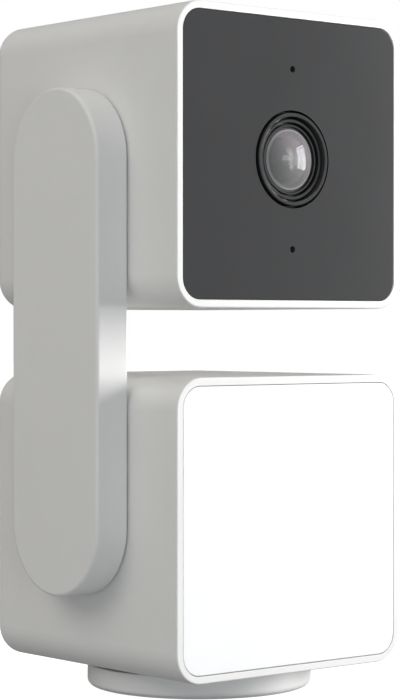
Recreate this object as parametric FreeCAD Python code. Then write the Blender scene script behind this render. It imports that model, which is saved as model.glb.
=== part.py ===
"""Pan-and-tilt security camera with a light: a camera block above a light block, joined by a side arm.

The light block turns on a round base about the Z axis. The camera block tilts on the arm about an X axis.
Millimetres, +Z up, front towards -Y. The origin is on the pan axis, in the plane the camera stands on.
Each sub-part is one function, and each is written to parts/NODE.step.
"""

import FreeCAD
import Part

import math
import os

V = FreeCAD.Vector
ALONG_X = V(1, 0, 0)
ALONG_Y = V(0, 1, 0)
ALONG_Z = V(0, 0, 1)

# ---- Driving dimensions -------------------------------------------------------------------------------
BLOCK_W = 54.0          # width of both blocks, along X
BLOCK_H = 53.6          # height of both blocks, along Z
FRONT_Y = -26.2         # front face of both blocks
REAR_Y = 29.0           # rear face of both blocks
CORNER_R = 5.6          # the four long corners, seen from the front
REAR_R = 3.0            # rounding round the rear face
RIM_EDGE_R = 0.3        # small rounding on the rim's outer edge
WALL = 2.2              # shell thickness
RIM = 1.4               # shell thickness round the front panel
PANEL_R = 3.9           # corners of the front panel's recess
BASE_GAP = 0.6          # air between base and light block
BASE_TOP = 4.2          # top face of the base
BLOCK_GAP = 12.2        # clear height between the blocks
ARM_R = 12.8            # half the arm's width
ARM_GAP = 0.35          # air between arm and camera block
ARM_T = 6.75            # arm thickness
ARM_EDGE_R = 0.65       # rounding of the arm's outer edge
BASE_R = 21.1           # base radius
BASE_EDGE_R = 1.3       # rounding round the base's lower edge, carried on by the foot ring

# ---- Places worked out from them ----------------------------------------------------------------------
HALF_W = BLOCK_W / 2
HALF_H = BLOCK_H / 2
LIGHT_Z = BASE_TOP + BASE_GAP + HALF_H          # centre height of the light block
HEAD_Z = LIGHT_Z + BLOCK_H + BLOCK_GAP          # centre height of the camera block, and the tilt axis
FLOOR_Z = BASE_TOP + BASE_GAP + WALL            # top of the light block's floor
IN_X = HALF_W - WALL                            # inner faces of both shells
IN_H = HALF_H - WALL
IN_REAR = REAR_Y - WALL
LEDGE_Y = FRONT_Y + 2.1                         # ledge that carries the front panel and its gasket
PANEL_FIT = 0.12                                # seam round the front panel
PANEL_BACK = FRONT_Y + 1.6
ARM_IN = -HALF_W - ARM_GAP                      # arm's inner face
ARM_OUT = ARM_IN - ARM_T                        # arm's outer face
ARM_WALL = 1.5
LID_IN = ARM_IN - 1.4                           # far side of the arm's inner plate

# ---- Screws -------------------------------------------------------------------------------------------
SHANK_R = 0.84
PILOT_R = 0.85          # hole that a screw cuts its thread in
PASS_R = 1.05           # hole that a screw passes through
POST = (21.3, 21.1)     # corner screw posts, from each block's centre
POST_R = 3.0
POST_L = 10.0

# ---- Gears --------------------------------------------------------------------------------------------
MODULE = 0.5
PRESSURE_ANGLE = 25.0
BACKLASH = 0.08         # thinning of each tooth at the pitch circle
PINION_TEETH = 12
PAN_TEETH = 56
TILT_TEETH = 48
PAN_CENTRES = MODULE * (PAN_TEETH + PINION_TEETH) / 2
TILT_CENTRES = MODULE * (TILT_TEETH + PINION_TEETH) / 2
PAN_PINION = (12.0, math.sqrt(PAN_CENTRES ** 2 - 12.0 ** 2))      # X and Y
TILT_PINION = (12.0, -math.sqrt(TILT_CENTRES ** 2 - 12.0 ** 2))   # Y, and Z from the tilt axis
SHAFT_R = 1.2

# ---- Hubs and bearings --------------------------------------------------------------------------------
RUNNING = 0.06          # radial clearance of a hub in its bush
PAN_HUB_R = 9.0
PAN_BUSH_R = 10.6
PAN_GEAR_Z = (7.4, 10.3)
TILT_HUB_R = 6.5
TILT_HUB_BORE = 4.2
TILT_BUSH_R = 8.4
TILT_GEAR_X = (-23.3, -20.5)
THREAD_R = 2.555        # wall of the quarter-inch camera thread, at tapping size
THREAD_L = 8.0

# ---- Stops, as angles in degrees ----------------------------------------------------------------------
PAN_STOP = (100.0, 280.0)            # peg on the bracket, lug on the base
TILT_STOP = (20.0, 179.0, -80.5)     # two pegs on the chassis, lug on the arm
PAN_STOP_R = 12.6
TILT_STOP_R = 9.6

# ---- Motors -------------------------------------------------------------------------------------------
CAN_R = 9.0
CAN_L = 13.0
EAR_REACH = 11.6
EAR_R = 2.0
EAR_T = 0.8
CAN_PAN = (14.0, 15.5)               # X and Y
PAN_EARS = (0.7, -0.714)
CAN_TILT = (14.4, -12.2)             # Y, and Z from the tilt axis
TILT_EARS = (0.8, 0.6)
BRACKET_Z = (11.5, 12.9)
MOTOR_WALL_X = (-16.8, -15.4)        # chassis wall that the tilt motor bolts to

# ---- Camera front -------------------------------------------------------------------------------------
RING_OUT = 8.85         # opening in the face plate
RING_R = 8.33           # outer edge of the lens ring
RING_IN = 7.65          # inner edge of the lens ring
RING_PROUD = 0.35       # the ring stands this far in front of the face plate
GLASS_R = 5.45          # front lens element
GLASS_EDGE = 0.95       # depth of its edge behind the face plate
GLASS_RISE = 1.45       # height of its dome
ELEMENT_R = 4.0         # second lens element
ELEMENT_Y = 2.6         # depth of its edge behind the face plate
PINHOLE_R = 0.6
PINHOLE_Z = 16.2        # pinholes above and below the lens
BOARD_T = 1.2
CAMERA_BOARD_Y = -15.2  # front face of the camera board
CAMERA_BOARD_HOLE = 17.4
CHASSIS_Y = (-13.0, -11.6)

# ---- Rear features ------------------------------------------------------------------------------------
INLET = (-13.5, 17.0)   # X and Z of the power socket
BUTTON = (-3.0, 17.0)   # X and Z of the setup button
BUTTON_R = 2.5
BUTTON_FIT = 0.2
SPEAKER = (-10.0, 39.5)  # X and Z of the speaker
SPEAKER_R = 10.4
INLET_BOARD_Y = REAR_Y - 10.4
INLET_BOARD_SCREWS = [(-19.6, 20.8), (-8.2, 20.8)]
CARD = (9.0, HEAD_Z - 12.2)  # X and Z of the memory card slot
CARD_SLOT = (12.0, 1.6)

# ---- Light --------------------------------------------------------------------------------------------
LED_ROWS = 5
LED_PITCH = 7.6
LED_SIZE = 2.8
LED_BOARD_Y = -19.5     # front face of the LED board
MAIN_BOARD_Y = -7.6
MAIN_BOARD_HOLE = 15.4


# ======================================= shape helpers ===================================================
def box(x0, x1, y0, y1, z0, z1):
    """Axis-aligned box between two corners."""
    return Part.makeBox(x1 - x0, y1 - y0, z1 - z0, V(x0, y0, z0))


def rod(radius, start, end):
    """Cylinder between two points."""
    axis = V(*end) - V(*start)
    return Part.makeCylinder(radius, axis.Length, V(*start), axis)


def tube(outer, inner, start, end):
    return rod(outer, start, end).cut(rod(inner, start, end))


def edges_along(solid, axis):
    """Straight edges that run along axis."""
    found = []
    for edge in solid.Edges:
        if isinstance(edge.Curve, Part.Line) and abs(edge.Curve.Direction.dot(axis)) > 0.999:
            found.append(edge)
    return found


def edges_at(solid, axis, level):
    """Edges that lie wholly in the plane where the coordinate along axis is level."""
    found = []
    for edge in solid.Edges:
        middle = edge.valueAt((edge.FirstParameter + edge.LastParameter) / 2)
        points = [v.Point for v in edge.Vertexes] + [middle]
        if all(abs(p.dot(axis) - level) < 1e-4 for p in points):
            found.append(edge)
    return found


def rounded_box(x0, x1, y0, y1, z0, z1, radius, axis=ALONG_Y):
    """Box whose four edges along axis are rounded."""
    solid = box(x0, x1, y0, y1, z0, z1)
    return solid.makeFillet(radius, edges_along(solid, axis))


def obround(width, height, x, y0, y1, z):
    """Lozenge with round ends, wide along X, from y0 to y1."""
    half = height / 2
    return rounded_box(x - width / 2, x + width / 2, y0, y1, z - half, z + half, half - 0.001)


def placed(solid, start, axis):
    """Copy of a solid built up +Z from the origin, moved to start and turned to point along axis."""
    copy = solid.copy()
    copy.Placement = FreeCAD.Placement(V(*start), FreeCAD.Rotation(ALONG_Z, V(*axis)))
    return copy


def lathe(profile, start, axis):
    """Solid of revolution from (radius, distance along axis) points in order."""
    points = [V(r, 0, h) for r, h in profile]
    face = Part.Face(Part.makePolygon(points + [points[0]]))
    return placed(face.revolve(V(0, 0, 0), ALONG_Z, 360), start, axis)


def fuse(first, *others):
    return first.multiFuse(list(others)).removeSplitter()


def cut(solid, *tools):
    return solid.cut(Part.makeCompound(list(tools)))


def stadium(radius, x0, x1):
    """Slab with round ends, from x0 to x1, upright between the light's centre and the tilt axis."""
    low, high = LIGHT_Z, HEAD_Z
    corners = [V(x0, -radius, low), V(x0, -radius, high), V(x0, radius, high), V(x0, radius, low)]
    wire = Part.Wire([
        Part.LineSegment(corners[0], corners[1]).toShape(),
        Part.Arc(corners[1], V(x0, 0, high + radius), corners[2]).toShape(),
        Part.LineSegment(corners[2], corners[3]).toShape(),
        Part.Arc(corners[3], V(x0, 0, low - radius), corners[0]).toShape(),
    ])
    return Part.Face(wire).extrude(V(x1 - x0, 0, 0))


def screw(seat, axis, head_r, head_h, length):
    """Pan-head screw with a cross recess. seat is the point under the head; axis points out of the head."""
    head = Part.makeCylinder(head_r, head_h)
    head = head.makeFillet(head_h * 0.35, edges_at(head, ALONG_Z, head_h))
    body = head.fuse(Part.makeCylinder(SHANK_R, length, V(0, 0, -length)))
    arm, half, floor = head_r * 0.62, head_r * 0.13, head_h * 0.45
    cross = [box(-arm, arm, -half, half, floor, head_h), box(-half, half, -arm, arm, floor, head_h)]
    return placed(cut(body, *cross), seat, axis)


def polar(radius, degrees):
    """The two coordinates of a point on a circle."""
    angle = math.radians(degrees)
    return radius * math.cos(angle), radius * math.sin(angle)


def ring_of(radius, count=3, start=90.0):
    return [polar(radius, start + 360.0 * k / count) for k in range(count)]


def four_corners(x, z):
    return [(sx * x, sz * z) for sx in (-1, 1) for sz in (-1, 1)]


def holes_along_y(radius, points, y0, y1):
    return [rod(radius, (x, y0, z), (x, y1, z)) for x, z in points]


def about_base(x, y, z):
    return x, y, z


def about_head(y, z, x):
    """Point at x whose Y and height are given from the tilt axis."""
    return x, y, HEAD_Z + z


def cable(radius, start, legs):
    """Round cable from start. A leg is a straight run's end, or a (middle, end) pair for an arc."""
    edges, here = [], V(*start)
    for leg in legs:
        if len(leg) == 2:
            edges.append(Part.Arc(here, V(*leg[0]), V(*leg[1])).toShape())
            here = V(*leg[1])
        else:
            edges.append(Part.LineSegment(here, V(*leg)).toShape())
            here = V(*leg)
    heading = edges[0].tangentAt(edges[0].FirstParameter)
    section = Part.Wire([Part.Circle(V(*start), heading, radius).toShape()])
    return Part.Wire(edges).makePipeShell([section], True, False)


# ======================================= gears ===========================================================
def on_circle(radius, angle):
    return V(radius * math.cos(angle), radius * math.sin(angle), 0)


def involute_point(base_r, radius, offset):
    """Point at radius on the involute of base_r, turned by offset."""
    roll = math.sqrt(max((radius / base_r) ** 2 - 1, 0))
    return on_circle(radius, offset + roll - math.atan(roll))


def turned(point, angle):
    c, s = math.cos(angle), math.sin(angle)
    return V(point.x * c - point.y * s, point.x * s + point.y * c, 0)


def gear(teeth, width, bore=0.0):
    """Spur gear along +Z, with a tooth centred on +X."""
    pitch_r = MODULE * teeth / 2
    pressure = math.radians(PRESSURE_ANGLE)
    base_r = pitch_r * math.cos(pressure)
    tip_r, root_r = pitch_r + MODULE, pitch_r - 1.25 * MODULE
    half_tooth = math.pi / (2 * teeth) - BACKLASH / (2 * pitch_r)
    offset = -(half_tooth + math.tan(pressure) - pressure)
    low_r = max(root_r, base_r)
    flank = [involute_point(base_r, r, offset) for r in (low_r, (low_r + tip_r) / 2, tip_r)]
    mirrored = [V(p.x, -p.y, 0) for p in reversed(flank)]
    foot = -math.atan2(flank[0].y, flank[0].x)
    step = 2 * math.pi / teeth
    edges = []
    for i in range(teeth):
        a = i * step
        up = [turned(p, a) for p in flank]
        down = [turned(p, a) for p in mirrored]
        root = [on_circle(root_r, angle) for angle in (a + foot, a + step / 2, a + step - foot)]
        edges.append(Part.Arc(*up).toShape())
        edges.append(Part.Arc(up[2], on_circle(tip_r, a), down[0]).toShape())
        edges.append(Part.Arc(*down).toShape())
        if low_r > root_r:
            edges.append(Part.LineSegment(down[2], root[0]).toShape())
        edges.append(Part.Arc(*root).toShape())
        if low_r > root_r:
            edges.append(Part.LineSegment(root[2], turned(flank[0], a + step)).toShape())
    solid = Part.Face(Part.Wire(edges)).extrude(V(0, 0, width))
    if bore:
        solid = solid.cut(Part.makeCylinder(bore, width))
    return solid


def gear_up(wheel, degrees, start):
    """Gear moved to stand along +Z from start, with a tooth at the given angle from +X towards +Y."""
    wheel.Placement = FreeCAD.Placement(V(*start), FreeCAD.Rotation(ALONG_Z, degrees))
    return wheel


def gear_across(wheel, degrees, start):
    """Gear moved to lie along +X from start, with a tooth at the given angle from +Y towards +Z."""
    lay = FreeCAD.Rotation(V(1, 1, 1), 120)
    turn = FreeCAD.Rotation(ALONG_X, degrees)
    wheel.Placement = FreeCAD.Placement(V(*start), turn.multiply(lay))
    return wheel


def facing(pinion):
    """Angle of the line of centres from a gear to its pinion, in degrees."""
    return math.degrees(math.atan2(pinion[1], pinion[0]))


def meshing(pinion):
    """Angle that puts a gap of the pinion on the line of centres, in degrees."""
    return facing(pinion) + 180 + 180 / PINION_TEETH


# ======================================= parts shared by both blocks =====================================
def block_shell(centre_z):
    """Hollow block, open at the front, with a ledge for the front panel."""
    z0, z1 = centre_z - HALF_H, centre_z + HALF_H
    outer = rounded_box(-HALF_W, HALF_W, FRONT_Y, REAR_Y, z0, z1, CORNER_R)
    outer = outer.makeFillet(REAR_R, edges_at(outer, ALONG_Y, REAR_Y))
    outer = outer.makeFillet(RIM_EDGE_R, edges_at(outer, ALONG_Y, FRONT_Y))
    hollow = rounded_box(-IN_X, IN_X, LEDGE_Y, IN_REAR, centre_z - IN_H, centre_z + IN_H, CORNER_R - WALL)
    hollow = hollow.makeFillet(REAR_R - WALL, edges_at(hollow, ALONG_Y, IN_REAR))
    side = HALF_W - RIM
    pocket = rounded_box(-side, side, FRONT_Y - 1, LEDGE_Y, z0 + RIM, z1 - RIM, PANEL_R)
    return outer.cut(hollow.fuse(pocket))


def post_points(centre_z):
    """X and Z of a block's four corner screw posts."""
    return [(x, centre_z + z) for x, z in four_corners(*POST)]


def corner_posts(centre_z, front_y):
    """Four screw posts webbed to a block's side walls."""
    posts = []
    for x, z in post_points(centre_z):
        wall = math.copysign(IN_X + 0.5, x)
        posts.append(rod(POST_R, (x, front_y, z), (x, front_y + POST_L, z)))
        posts.append(box(min(x, wall), max(x, wall), front_y, front_y + POST_L, z - 1.2, z + 1.2))
    return posts


def front_panel(centre_z):
    """Rounded-square panel that sits inside a block's rim."""
    half_w, half_h = HALF_W - RIM - PANEL_FIT, HALF_H - RIM - PANEL_FIT
    panel = rounded_box(-half_w, half_w, FRONT_Y, PANEL_BACK, centre_z - half_h, centre_z + half_h,
                        PANEL_R - PANEL_FIT)
    return panel.makeFillet(0.12, edges_at(panel, ALONG_Y, FRONT_Y))


def panel_gasket(centre_z):
    """Thin rubber frame between a front panel and its ledge."""
    out_w, out_h = HALF_W - RIM - 0.1, HALF_H - RIM - 0.1
    in_w, in_h = out_w - 1.2, out_h - 1.2
    outer = rounded_box(-out_w, out_w, PANEL_BACK, LEDGE_Y, centre_z - out_h, centre_z + out_h, 4.6)
    inner = rounded_box(-in_w, in_w, PANEL_BACK, LEDGE_Y, centre_z - in_h, centre_z + in_h, 3.5)
    return outer.cut(inner)


def motor(shaft, can, ears, face, at):
    """Geared stepper with an offset shaft and two ears. at(u, v, w) gives a point; the can runs along w."""
    body = rod(CAN_R, at(*can, face), at(*can, face + CAN_L))
    pieces = [rod(3.4, at(*shaft, face - 1.0), at(*shaft, face + 0.1))]
    for ear in ears:
        pieces.append(rod(EAR_R, at(*ear, face), at(*ear, face + EAR_T)))
        nu = -(ear[1] - can[1]) / EAR_REACH * EAR_R
        nv = (ear[0] - can[0]) / EAR_REACH * EAR_R
        outline = [V(*at(can[0] + nu, can[1] + nv, face)), V(*at(ear[0] + nu, ear[1] + nv, face)),
                   V(*at(ear[0] - nu, ear[1] - nv, face)), V(*at(can[0] - nu, can[1] - nv, face))]
        depth = V(*at(0, 0, face + EAR_T)) - V(*at(0, 0, face))
        pieces.append(Part.Face(Part.makePolygon(outline + [outline[0]])).extrude(depth))
    holes = [rod(PASS_R, at(*ear, face - 1), at(*ear, face + 2)) for ear in ears]
    bore = rod(SHAFT_R + 0.05, at(*shaft, face - 2), at(*shaft, face + 5.0))
    return cut(fuse(body, *pieces), bore, *holes)


def ear_points(can, direction):
    """Centres of a motor's two ears, either side of its can."""
    u, v = direction[0] * EAR_REACH, direction[1] * EAR_REACH
    return [(can[0] + u, can[1] + v), (can[0] - u, can[1] - v)]


# ======================================= base ============================================================
FOOT_T = 0.55
INSERT_R = 4.6
CLOSING_SCREWS = ring_of(11.4)
RETAINER_SCREWS = ring_of(6.6)
RETAINER_TOP = PAN_GEAR_Z[1] + 0.8


def base_disc():
    """Disc from the floor to the base's top, with its rounded edges."""
    disc = Part.makeCylinder(BASE_R, BASE_TOP)
    disc = disc.makeFillet(BASE_EDGE_R, edges_at(disc, ALONG_Z, 0))
    return disc.makeFillet(0.25, edges_at(disc, ALONG_Z, BASE_TOP))


def base_cover():
    """Round cover with the pan hub standing on it, hollow underneath."""
    disc = base_disc().cut(rod(BASE_R + 1, (0, 0, -1), (0, 0, FOOT_T)))
    disc = disc.makeChamfer(0.12, edges_at(disc, ALONG_Z, FOOT_T))
    hub = Part.makeCylinder(PAN_HUB_R, PAN_GEAR_Z[1] - BASE_TOP + 1, V(0, 0, BASE_TOP - 1))
    hollow = tube(19.7, 7.2, (0, 0, FOOT_T), (0, 0, 2.7))
    bosses = [rod(1.9, (x, y, FOOT_T + 1.2), (x, y, 3.0)) for x, y in CLOSING_SCREWS]
    seat = rod(INSERT_R, (0, 0, 0), (0, 0, THREAD_L + 0.6))
    low = [rod(PILOT_R, (x, y, 0), (x, y, 3.8)) for x, y in CLOSING_SCREWS]
    high = [rod(PILOT_R, (x, y, 6.6), (x, y, PAN_GEAR_Z[1] + 1)) for x, y in RETAINER_SCREWS]
    return cut(fuse(fuse(disc, hub).cut(hollow), *bosses), seat, *low, *high)


def base_plate():
    """Closing plate under the base cover, recessed above the foot ring."""
    plate = Part.makeCylinder(19.6, 1.2, V(0, 0, FOOT_T))
    holes = [rod(PASS_R, (x, y, 0), (x, y, 2)) for x, y in CLOSING_SCREWS]
    return cut(plate, rod(7.2, (0, 0, 0), (0, 0, 2)), *holes)


def foot_ring():
    """Soft ring that the camera stands on, rounded like the base, with two shallow grooves."""
    above = rod(BASE_R + 1, (0, 0, FOOT_T), (0, 0, BASE_TOP + 1))
    ring = cut(base_disc(), above, rod(15.2, (0, 0, -1), (0, 0, 1)))
    grooves = [tube(r + 0.4, r, (0, 0, 0), (0, 0, 0.25)) for r in (16.6, 18.4)]
    return cut(ring, *grooves)


def base_weight():
    """Steel ring inside the base that keeps it steady."""
    return tube(19.2, 13.7, (0, 0, FOOT_T + 1.2), (0, 0, 2.7))


def tripod_insert():
    """Brass insert with the camera thread's bore, closed at the top, with grooves that grip the hub."""
    sleeve = tube(INSERT_R, THREAD_R, (0, 0, 0), (0, 0, THREAD_L))
    end = rod(INSERT_R, (0, 0, THREAD_L), (0, 0, THREAD_L + 0.6))
    grooves = [tube(INSERT_R + 0.1, INSERT_R - 0.25, (0, 0, z), (0, 0, z + 0.5)) for z in (2.4, 4.4, 6.4)]
    return cut(fuse(sleeve, end), *grooves)


def base_screws():
    """Three screws under the base, and three on the pan gear's retaining plate."""
    under = [screw((x, y, FOOT_T), (0, 0, -1), 1.8, 0.4, 3.1) for x, y in CLOSING_SCREWS]
    top = [screw((x, y, RETAINER_TOP), (0, 0, 1), 1.6, 0.9, 4.2) for x, y in RETAINER_SCREWS]
    return Part.makeCompound(under + top)


def pan_gear():
    """Fixed gear on the pan hub, that the pan motor's pinion walks round."""
    wheel = gear(PAN_TEETH, PAN_GEAR_Z[1] - PAN_GEAR_Z[0], PAN_HUB_R + 0.01)
    return gear_up(wheel, facing(PAN_PINION), (0, 0, PAN_GEAR_Z[0]))


def pan_retainer():
    """Plate screwed on the hub that holds the pan gear down, with the lug that ends the pan travel."""
    z0, z1 = PAN_GEAR_Z[1], RETAINER_TOP
    lug = box(9.5, 13.0, -0.6, 0.6, z0, z1)
    lug.rotate(V(0, 0, 0), ALONG_Z, PAN_STOP[1])
    plate = fuse(rod(10.6, (0, 0, z0), (0, 0, z1)), lug)
    holes = [rod(PASS_R, (x, y, z0 - 1), (x, y, z1 + 1)) for x, y in RETAINER_SCREWS]
    return cut(plate, rod(3.0, (0, 0, z0 - 1), (0, 0, z1 + 1)), *holes)


# ======================================= light block =====================================================
POST_Y = LED_BOARD_Y + BOARD_T
BRACKET_SCREWS = ear_points(CAN_PAN, PAN_EARS) + [(-5.6, 16.5)]


def grille_points():
    """Hexagonal pattern of sound holes over the speaker."""
    pitch, rings = 2.3, 3
    points = []
    for i in range(-rings, rings + 1):
        for j in range(-rings, rings + 1):
            if abs(i + j) <= rings:
                across, up = pitch * (i + j / 2), pitch * j * math.sqrt(3) / 2
                points.append((SPEAKER[0] + across, SPEAKER[1] + up))
    return points


def light_housing():
    """Shell of the light block, with its screw posts, motor bosses, sound holes and rear openings."""
    bosses = [rod(2.4, (x, y, FLOOR_Z - 0.5), (x, y, BRACKET_Z[0])) for x, y in BRACKET_SCREWS]
    bosses += holes_along_y(1.6, INLET_BOARD_SCREWS, INLET_BOARD_Y + BOARD_T, IN_REAR + 0.5)
    shell = fuse(block_shell(LIGHT_Z), *corner_posts(LIGHT_Z, POST_Y), *bosses)
    x, z = INLET
    holes = [
        rod(PAN_BUSH_R, (0, 0, 0), (0, 0, FLOOR_Z + 1)),
        rod(TILT_HUB_R + 0.05, (-HALF_W - 1, 0, LIGHT_Z), (-IN_X + 1, 0, LIGHT_Z)),
        obround(9.3, 3.6, x, IN_REAR - 1, REAR_Y + 1, z),
        obround(12.8, 6.8, x, REAR_Y - 0.7, REAR_Y + 1, z),
    ]
    holes += holes_along_y(BUTTON_R + BUTTON_FIT, [BUTTON], IN_REAR - 1, REAR_Y + 1)
    holes += holes_along_y(PILOT_R, post_points(LIGHT_Z), POST_Y, POST_Y + 8)
    holes += holes_along_y(PILOT_R, INLET_BOARD_SCREWS, INLET_BOARD_Y, INLET_BOARD_Y + 6)
    holes += holes_along_y(0.55, grille_points(), IN_REAR - 1, REAR_Y + 1)
    holes += [rod(PILOT_R, (a, b, FLOOR_Z), (a, b, BRACKET_Z[1])) for a, b in BRACKET_SCREWS]
    return cut(shell, *holes)


def light_reflector():
    """White tray that flares from the LED board to the diffuser."""
    y0, y1 = LEDGE_Y + 0.1, LED_BOARD_Y
    outer = rounded_box(-24.6, 24.6, y0, y1, LIGHT_Z - 24.3, LIGHT_Z + 24.3, 4.0)

    def rectangle(half_w, half_h, y):
        a, b, c, d = [V(x, y, LIGHT_Z + z) for x, z in four_corners(half_w, half_h)]
        return Part.makePolygon([a, b, d, c, a])

    flare = Part.makeLoft([rectangle(23.2, 23.0, y0), rectangle(18.6, 18.4, y1)], True)
    heads = holes_along_y(2.3, post_points(LIGHT_Z), y0 - 1, y1 - 1)
    holes = holes_along_y(PASS_R, post_points(LIGHT_Z), y0, y1 + 1)
    return cut(outer, flare, *heads, *holes)


def led_board():
    """Aluminium-core board that carries the LEDs."""
    y0, y1 = LED_BOARD_Y, LED_BOARD_Y + BOARD_T
    board = rounded_box(-23.4, 23.4, y0, y1, LIGHT_Z - 23.2, LIGHT_Z + 23.2, 3.0)
    return cut(board, *holes_along_y(PASS_R, post_points(LIGHT_Z), y0 - 1, y1 + 1))


def led_chips():
    """Square grid of LED packages, each with a round window."""
    chips = []
    first = -(LED_ROWS - 1) / 2 * LED_PITCH
    half = LED_SIZE / 2
    for i in range(LED_ROWS):
        for j in range(LED_ROWS):
            x, z = first + i * LED_PITCH, LIGHT_Z + first + j * LED_PITCH
            chip = box(x - half, x + half, LED_BOARD_Y - 0.8, LED_BOARD_Y, z - half, z + half)
            window = rod(half * 0.8, (x, LED_BOARD_Y - 1, z), (x, LED_BOARD_Y - 0.65, z))
            chips.append(chip.cut(window))
    return Part.makeCompound(chips)


def main_board_points():
    """X and Z of the control board's four screws."""
    return [(x, LIGHT_Z + z) for x, z in four_corners(MAIN_BOARD_HOLE, MAIN_BOARD_HOLE)]


def heatsink():
    """Finned plate bonded to the LED board, with the control board's four spacers."""
    y0 = LED_BOARD_Y + BOARD_T
    z0, z1 = LIGHT_Z - 18.0, LIGHT_Z + 18.0
    plate = box(-17.8, 17.8, y0, y0 + 1.6, z0, z1)
    count = 9
    fins = []
    for i in range(count):
        x = -17.2 + i * 34.4 / (count - 1)
        fins.append(box(x - 0.5, x + 0.5, y0 + 1.6, y0 + 6.0, z0, z1))
    spacers = holes_along_y(2.2, main_board_points(), y0 + 1.0, MAIN_BOARD_Y)
    holes = holes_along_y(PILOT_R, main_board_points(), y0 + 4.0, MAIN_BOARD_Y + 1)
    return cut(fuse(plate, *fins, *spacers), *holes)


def main_board():
    """Control and LED driver board, upright across the light block."""
    y1 = MAIN_BOARD_Y + BOARD_T
    board = box(-17.6, 17.6, MAIN_BOARD_Y, y1, LIGHT_Z - 17.6, LIGHT_Z + 23.6)
    return cut(board, *holes_along_y(PASS_R, main_board_points(), MAIN_BOARD_Y - 1, y1 + 1))


def main_board_parts():
    """Chips, driver coil, capacitors and the arm cable's socket on the control board."""
    y, z = MAIN_BOARD_Y + BOARD_T, LIGHT_Z
    return Part.makeCompound([
        box(-5.0, 7.0, y, y + 1.3, z + 4.0, z + 16.0),
        box(9.0, 15.5, y, y + 1.0, z + 5.0, z + 12.0),
        box(-14.5, -8.0, y, y + 1.0, z + 6.5, z + 12.5),
        box(-8.0, 0.0, y, y + 4.0, z - 13.0, z - 6.0),
        box(-14.6, -9.4, y, y + 2.6, z - 2.4, z + 2.4),
        rod(2.4, (11.5, y, z - 3.0), (11.5, y + 7.0, z - 3.0)),
        rod(2.4, (5.5, y, z - 3.0), (5.5, y + 7.0, z - 3.0)),
    ])


def pan_motor_bracket():
    """Plate on the housing's bosses that carries the pan motor, with the peg that ends the pan travel."""
    z0, z1 = BRACKET_Z
    right, rear = IN_X - 0.5, IN_REAR - 0.4
    plate = rounded_box(-7.6, right, 3.2, rear, z0, z1, 1.8, ALONG_Z)
    x, y = polar(PAN_STOP_R, PAN_STOP[0])
    peg = rod(0.6, (x, y, z0 - 0.9), (x, y, z0 + 0.2))
    holes = [rod(PASS_R, (a, b, z0 - 1), (a, b, z1 + 1)) for a, b in BRACKET_SCREWS]
    clear = [
        rod(11.6, (0, 0, z0 - 1), (0, 0, z1 + 1)),
        rod(3.6, (*PAN_PINION, z0 - 1), (*PAN_PINION, z1 + 1)),
        rod(4.5, (right, rear, z0 - 1), (right, rear, z1 + 1)),
    ]
    return fuse(cut(plate, *clear, *holes), peg)


def pan_motor():
    return motor(PAN_PINION, CAN_PAN, BRACKET_SCREWS[:2], BRACKET_Z[1], about_base)


def pan_pinion():
    """Pan motor's shaft and pinion in one piece, in mesh with the pan gear."""
    z0, z1 = PAN_GEAR_Z[0] + 0.1, PAN_GEAR_Z[1] + 0.4
    wheel = gear_up(gear(PINION_TEETH, z1 - z0), meshing(PAN_PINION), (*PAN_PINION, z0))
    return wheel.fuse(rod(SHAFT_R, (*PAN_PINION, z1 - 0.5), (*PAN_PINION, BRACKET_Z[1] + 4.8)))


def light_screws():
    """Screws of the reflector and LED board, the control board, the pan motor and the inlet board."""
    forward, back, up = (0, -1, 0), (0, 1, 0), (0, 0, 1)
    board_back, ear_top = MAIN_BOARD_Y + BOARD_T, BRACKET_Z[1] + EAR_T
    screws = [screw((x, LED_BOARD_Y - 1.0, z), forward, 1.9, 1.1, 7.2) for x, z in post_points(LIGHT_Z)]
    screws += [screw((x, board_back, z), back, 1.8, 1.0, 4.8) for x, z in main_board_points()]
    screws += [screw((x, y, ear_top), up, 1.8, 1.0, 5.4) for x, y in BRACKET_SCREWS[:2]]
    screws += [screw((x, y, BRACKET_Z[1]), up, 1.8, 1.0, 4.8) for x, y in BRACKET_SCREWS[2:]]
    screws += [screw((x, INLET_BOARD_Y, z), forward, 1.6, 0.9, 4.6) for x, z in INLET_BOARD_SCREWS]
    return Part.makeCompound(screws)


def pan_bush():
    """Flanged bush in the light block's floor: it turns on the pan hub and slides on the base's top."""
    bottom = BASE_TOP + 0.04
    sleeve = tube(PAN_BUSH_R, PAN_HUB_R + RUNNING, (0, 0, bottom), (0, 0, FLOOR_Z))
    flange = tube(13.4, PAN_HUB_R + RUNNING, (0, 0, bottom), (0, 0, BASE_TOP + BASE_GAP))
    return fuse(sleeve, flange)


def speaker_frame():
    """Speaker basket with its magnet pot, behind the sound holes."""
    profile = [(SPEAKER_R, 0), (SPEAKER_R, 1.6), (6.2, 3.6), (6.2, 6.4), (0, 6.4), (0, 5.6), (5.4, 5.6),
               (5.4, 3.0), (8.6, 1.0), (8.6, 0)]
    return lathe(profile, (SPEAKER[0], IN_REAR, SPEAKER[1]), (0, -1, 0))


def speaker_cone():
    """Speaker cone with its roll surround and dust cap."""
    profile = [(8.6, 0.7), (7.6, 0.35), (6.9, 0.8), (3.0, 2.4), (1.6, 1.9), (0, 1.6), (0, 1.8), (1.5, 2.1),
               (3.0, 2.7), (6.9, 1.1), (7.6, 0.65), (8.6, 1.0)]
    return lathe(profile, (SPEAKER[0], IN_REAR, SPEAKER[1]), (0, -1, 0))


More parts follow.
